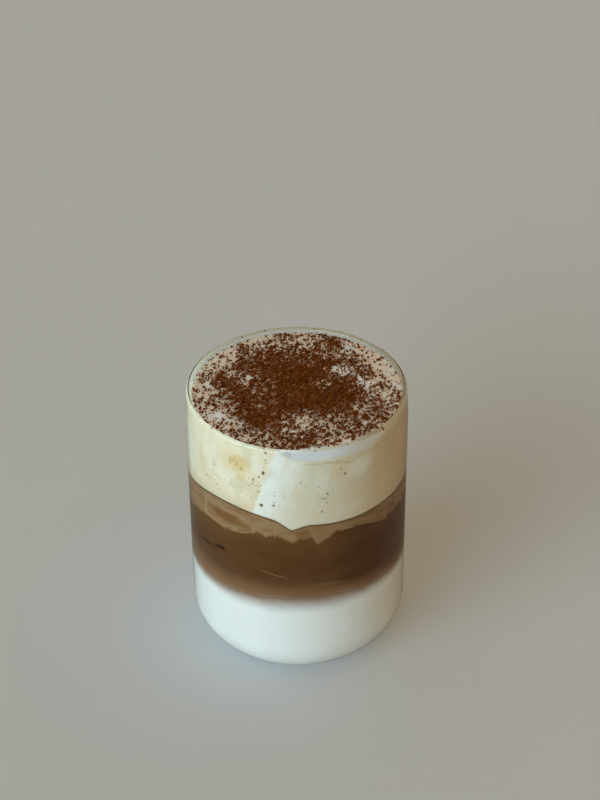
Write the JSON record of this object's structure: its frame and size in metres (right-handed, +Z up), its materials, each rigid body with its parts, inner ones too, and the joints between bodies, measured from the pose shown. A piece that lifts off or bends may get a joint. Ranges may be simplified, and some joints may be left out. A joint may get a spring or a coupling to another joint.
{
  "type": "layered latte in a glass",
  "caption": "Latte in a straight clear tumbler with a rounded base: white milk below, brown coffee in the middle, thick milk foam on top, dusted with coarse cocoa.",
  "frame": {"origin": "middle of the glass's flat base, on the surface that the glass stands on", "axes": "+Z up along the glass's axis, -Y towards the front, where a small tongue of foam hangs into the coffee"},
  "size_m": [0.075, 0.075, 0.1],
  "materials": {
    "glass": "clear, smooth drinking glass",
    "milk": "opaque white milk",
    "coffee": "brown coffee mixed with milk, with pale wisps below the foam",
    "foam": "off-white milk foam with fine bubbles, dusted with dark brown cocoa"
  },
  "bodies": {
    "root": {"glass": "glass", "milk": "milk", "coffee": "coffee", "foam": "foam"}
  },
  "joints": []
}
